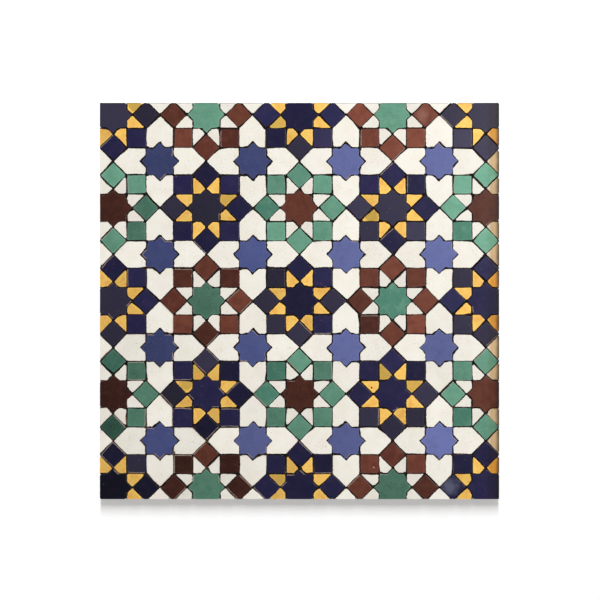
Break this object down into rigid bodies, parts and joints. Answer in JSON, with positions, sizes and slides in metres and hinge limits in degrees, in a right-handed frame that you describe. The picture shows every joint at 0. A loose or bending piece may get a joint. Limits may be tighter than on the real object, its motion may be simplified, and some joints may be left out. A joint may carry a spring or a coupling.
{
  "type": "moroccan mosaic tile panel",
  "caption": "Square wall panel of hand-cut glazed clay pieces in an eight-fold star and rosette pattern, set in a cast mortar bed with a flat back.",
  "frame": {"origin": "centre of the panel's flat back, which it lies on", "axes": "+X along the panel's width, +Y up the panel as it hangs on a wall, +Z out of the glazed face"},
  "size_m": [0.6, 0.5956, 0.022],
  "materials": {
    "mortar": "rough cast, grimy",
    "white_glaze": "glossy glaze",
    "yellow_glaze": "glossy glaze",
    "navy_glaze": "glossy glaze",
    "cobalt_glaze": "glossy glaze",
    "green_glaze": "glossy mottled glaze",
    "brown_glaze": "glossy glaze"
  },
  "bodies": {
    "root": {"brown_squares": "brown_glaze", "brown_star_1": "brown_glaze", "brown_star_2": "brown_glaze", "brown_star_3": "brown_glaze", "brown_star_4": "brown_glaze", "brown_star_5": "brown_glaze", "brown_star_6": "brown_glaze", "cobalt_star_1": "cobalt_glaze", "cobalt_star_10": "cobalt_glaze", "cobalt_star_11": "cobalt_glaze", "cobalt_star_12": "cobalt_glaze", "cobalt_star_13": "cobalt_glaze", "cobalt_star_14": "cobalt_glaze", "cobalt_star_15": "cobalt_glaze", "cobalt_star_16": "cobalt_glaze", "cobalt_star_2": "cobalt_glaze", "cobalt_star_3": "cobalt_glaze", "cobalt_star_4": "cobalt_glaze", "cobalt_star_5": "cobalt_glaze", "cobalt_star_6": "cobalt_glaze", "cobalt_star_7": "cobalt_glaze", "cobalt_star_8": "cobalt_glaze", "cobalt_star_9": "cobalt_glaze", "green_squares": "green_glaze", "green_star_1": "green_glaze", "green_star_2": "green_glaze", "green_star_3": "green_glaze", "green_star_4": "green_glaze", "green_star_5": "green_glaze", "green_star_6": "green_glaze", "mortar_bed": "mortar", "navy_squares": "navy_glaze", "navy_star_1": "navy_glaze", "navy_star_10": "navy_glaze", "navy_star_11": "navy_glaze", "navy_star_12": "navy_glaze", "navy_star_13": "navy_glaze", "navy_star_2": "navy_glaze", "navy_star_3": "navy_glaze", "navy_star_4": "navy_glaze", "navy_star_5": "navy_glaze", "navy_star_6": "navy_glaze", "navy_star_7": "navy_glaze", "navy_star_8": "navy_glaze", "navy_star_9": "navy_glaze", "white_arrows": "white_glaze", "white_edge_triangles": "white_glaze", "white_kites": "white_glaze", "yellow_kites": "yellow_glaze"}
  },
  "joints": []
}
